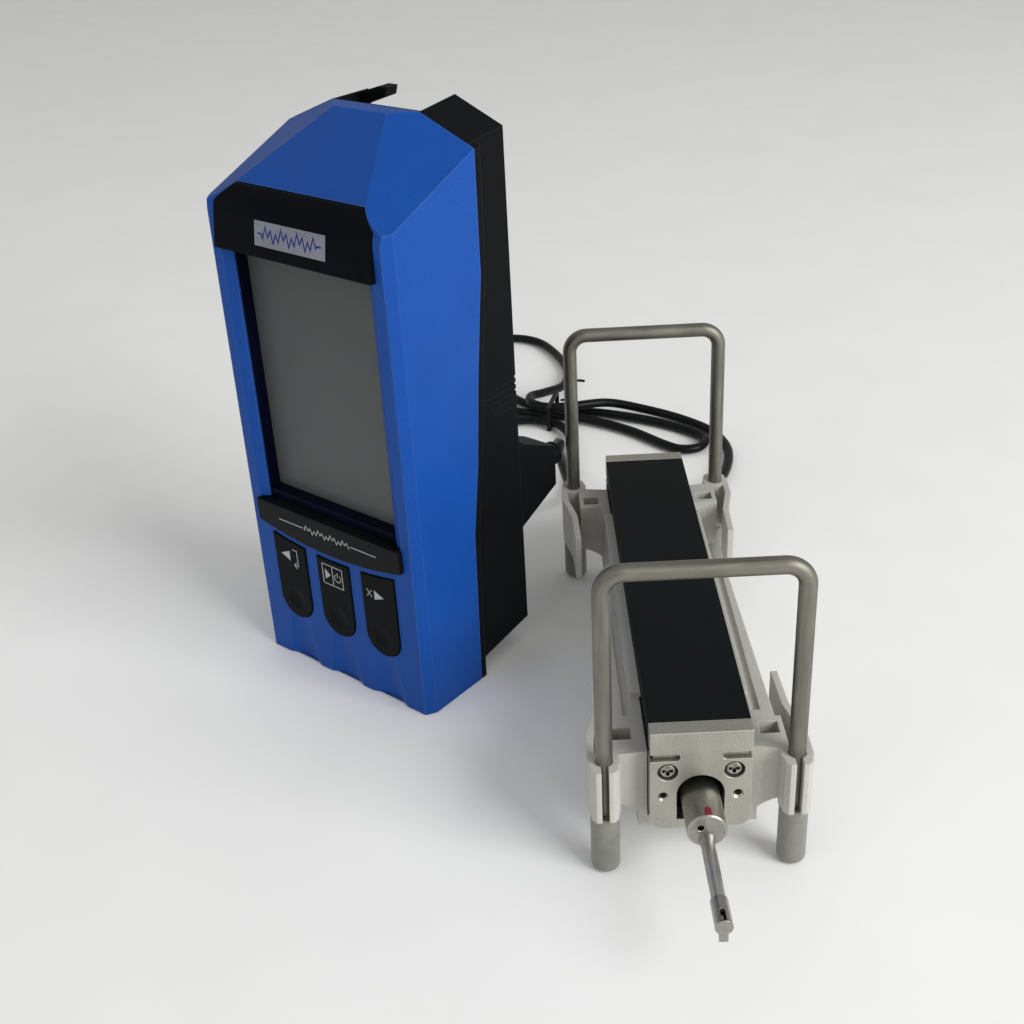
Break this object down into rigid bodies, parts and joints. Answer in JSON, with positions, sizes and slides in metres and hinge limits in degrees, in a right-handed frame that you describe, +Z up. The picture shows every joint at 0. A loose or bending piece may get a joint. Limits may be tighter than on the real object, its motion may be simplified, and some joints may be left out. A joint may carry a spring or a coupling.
{
  "type": "surface roughness tester",
  "caption": "Portable surface roughness tester: upright hand-held host with screen and keys, cabled to a traverse drive with a stylus pickup on a white stand with wire bails.",
  "frame": {"origin": "middle of the host's base, on the floor", "axes": "+Z up; the drive lies along Y with its pickup pointing to -Y; the host is turned 39.6 degrees clockwise from above, as pictured"},
  "size_m": [0.1529, 0.3665, 0.157],
  "materials": {
    "blue_plastic": "fine moulded texture",
    "black_plastic": "fine moulded texture",
    "gloss_black": "glossy",
    "silver_label": "satin",
    "display_glass": "anti-glare",
    "key_rubber": "satin",
    "circuit_board": "solder mask",
    "battery_wrap": "heat-shrunk wrap",
    "steel_screw": "plated",
    "pad_rubber": "matte",
    "housing_plastic": "satin black",
    "anodised_aluminium": "bead-blasted and anodised",
    "machined_aluminium": "machined",
    "ground_steel": "ground",
    "brass": "turned",
    "motor_can": "drawn",
    "cable_rubber": "satin",
    "pickup_metal": "satin grey",
    "nose_steel": "satin",
    "coil_copper": "wound wire",
    "white_plastic": "moulded",
    "bail_wire": "plated",
    "foot_rubber": "satin",
    "tie_plastic": "smooth"
  },
  "bodies": {
    "tester": {"front_shell": "blue_plastic", "rear_shell": "black_plastic", "brow_panel": "gloss_black", "nameplate": "silver_label", "display_panel": "display_glass", "display_frame": "gloss_black", "rail_left": "blue_plastic", "rail_right": "blue_plastic", "lower_trim": "black_plastic", "key_board": "circuit_board", "main_board": "circuit_board", "battery_pack": "battery_wrap", "host_socket": "black_plastic", "case_screws": "steel_screw", "rear_pads": "pad_rubber", "drive_housing": "housing_plastic", "front_plate": "anodised_aluminium", "rear_plate": "anodised_aluminium", "plate_screws": "steel_screw", "front_block": "machined_aluminium", "rear_block": "machined_aluminium", "motor_block": "machined_aluminium", "guide_rods": "ground_steel", "screw_bush": "brass", "gear_motor": "motor_can", "drive_board": "circuit_board", "cable_gland": "cable_rubber", "stand_tray": "white_plastic", "cable_plug": "black_plastic", "drive_cable": "cable_rubber", "twist_tie": "tie_plastic"},
    "left_key": {"key_left": "key_rubber"},
    "start_key": {"key_start": "key_rubber"},
    "right_key": {"key_right": "key_rubber"},
    "front_stand": {"front_bail": "bail_wire", "front_feet": "foot_rubber"},
    "rear_stand": {"rear_bail": "bail_wire", "rear_feet": "foot_rubber"},
    "screw": {"lead_screw": "ground_steel", "screw_coupling": "machined_aluminium", "motor_shaft": "ground_steel"},
    "pickup": {"carriage": "machined_aluminium", "drive_nut": "brass", "pickup_body": "pickup_metal", "pickup_stem": "ground_steel", "pickup_nose": "nose_steel", "sensor_coil": "coil_copper", "pivot_pin": "ground_steel"},
    "stylus": {"stylus_arm": "ground_steel"}
  },
  "joints": [
    {"name": "left_key_press", "type": "slide", "parent": "tester", "child": "left_key", "axis": [0.6374, 0.7705, 0], "range_m": [0, 0.0008], "stiffness_N_per_m": 500},
    {"name": "start_key_press", "type": "slide", "parent": "tester", "child": "start_key", "axis": [0.6374, 0.7705, 0], "range_m": [0, 0.0008], "stiffness_N_per_m": 500},
    {"name": "right_key_press", "type": "slide", "parent": "tester", "child": "right_key", "axis": [0.6374, 0.7705, 0], "range_m": [0, 0.0008], "stiffness_N_per_m": 500},
    {"name": "front_bail_slide", "type": "slide", "parent": "tester", "child": "front_stand", "axis": [0, 0, 1], "range_m": [-0.036, 0]},
    {"name": "rear_bail_slide", "type": "slide", "parent": "tester", "child": "rear_stand", "axis": [0, 0, 1], "range_m": [-0.036, 0]},
    {"name": "screw_turn", "type": "hinge", "parent": "tester", "child": "screw", "pos_m": [0.083, -0.06, 0.031], "axis": [0, 1, 0], "range_deg": [0, 3151]},
    {"name": "pickup_traverse", "type": "slide", "parent": "tester", "child": "pickup", "axis": [0, 1, 0], "range_m": [0, 0.0175]},
    {"name": "stylus_swing", "type": "hinge", "parent": "pickup", "child": "stylus", "pos_m": [0.083, -0.096, 0.018], "axis": [1, 0, 0], "range_deg": [-0.6, 0.6]}
  ],
  "couplings": [
    {"joint": "screw_turn", "follows": "pickup_traverse", "rad_per_m": 3141.6}
  ]
}
